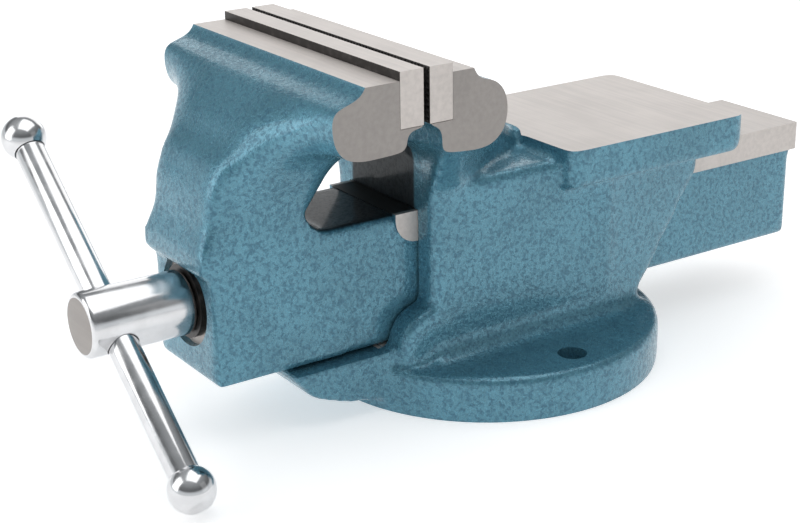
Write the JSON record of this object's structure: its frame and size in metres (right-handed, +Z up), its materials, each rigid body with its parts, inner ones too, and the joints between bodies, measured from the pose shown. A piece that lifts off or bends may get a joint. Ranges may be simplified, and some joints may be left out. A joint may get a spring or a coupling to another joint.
{
  "type": "bench vise",
  "caption": "Bench vise on a round fixed base, with wide jaws faced in steel plates, a sliding box beam, an anvil pad behind the jaws and a sliding bar handle.",
  "frame": {"origin": "centre of the round base on its underside", "axes": "+Z up, +Y from the handle along the screw to the anvil, +X across the jaws to the right as seen from the handle"},
  "size_m": [0.1812, 0.4079, 0.1754],
  "materials": {
    "hammered_paint": "blue hammered enamel on cast iron, with bare machined faces on the jaw tops and ends, the beam's guide strip and the anvil's top",
    "ground_steel": "ground steel with crosshatched gripping faces",
    "bright_steel": "polished bright steel",
    "dark_steel": "dark oiled steel",
    "spring_steel": "spring steel wire",
    "cast_nut": "bare cast iron"
  },
  "bodies": {
    "root": {"fixed_body": "hammered_paint", "rear_jaw_plate": "ground_steel", "rear_jaw_screw_left": "dark_steel", "rear_jaw_screw_right": "dark_steel", "lead_nut": "cast_nut", "nut_bolt": "dark_steel", "nut_bolt_washer": "dark_steel"},
    "moving_jaw": {"moving_jaw": "hammered_paint", "front_jaw_plate": "ground_steel", "front_jaw_screw_left": "dark_steel", "front_jaw_screw_right": "dark_steel"},
    "lead_screw": {"lead_screw": "bright_steel", "thrust_collar": "dark_steel", "spring_seat_washer": "dark_steel", "retraction_spring": "spring_steel", "retainer_washer": "dark_steel", "cotter_pin": "bright_steel"},
    "handle": {"handle_bar": "bright_steel", "handle_knob_upper": "bright_steel", "handle_knob_lower": "bright_steel"}
  },
  "joints": [
    {"name": "jaw_slide", "type": "slide", "parent": "root", "child": "moving_jaw", "axis": [0, -1, 0], "range_m": [-0.0015, 0.15]},
    {"name": "screw_spin", "type": "hinge", "parent": "moving_jaw", "child": "lead_screw", "pos_m": [0, -0.2033, 0.0655], "axis": [0, -1, 0], "range_deg": [-107.9, 10799]},
    {"name": "handle_slide", "type": "slide", "parent": "lead_screw", "child": "handle", "axis": [0.7955, 0, -0.606], "range_m": [-0.062, 0.078]}
  ],
  "couplings": [
    {"joint": "jaw_slide", "follows": "screw_spin", "m_per_rad": 0.00079577}
  ]
}
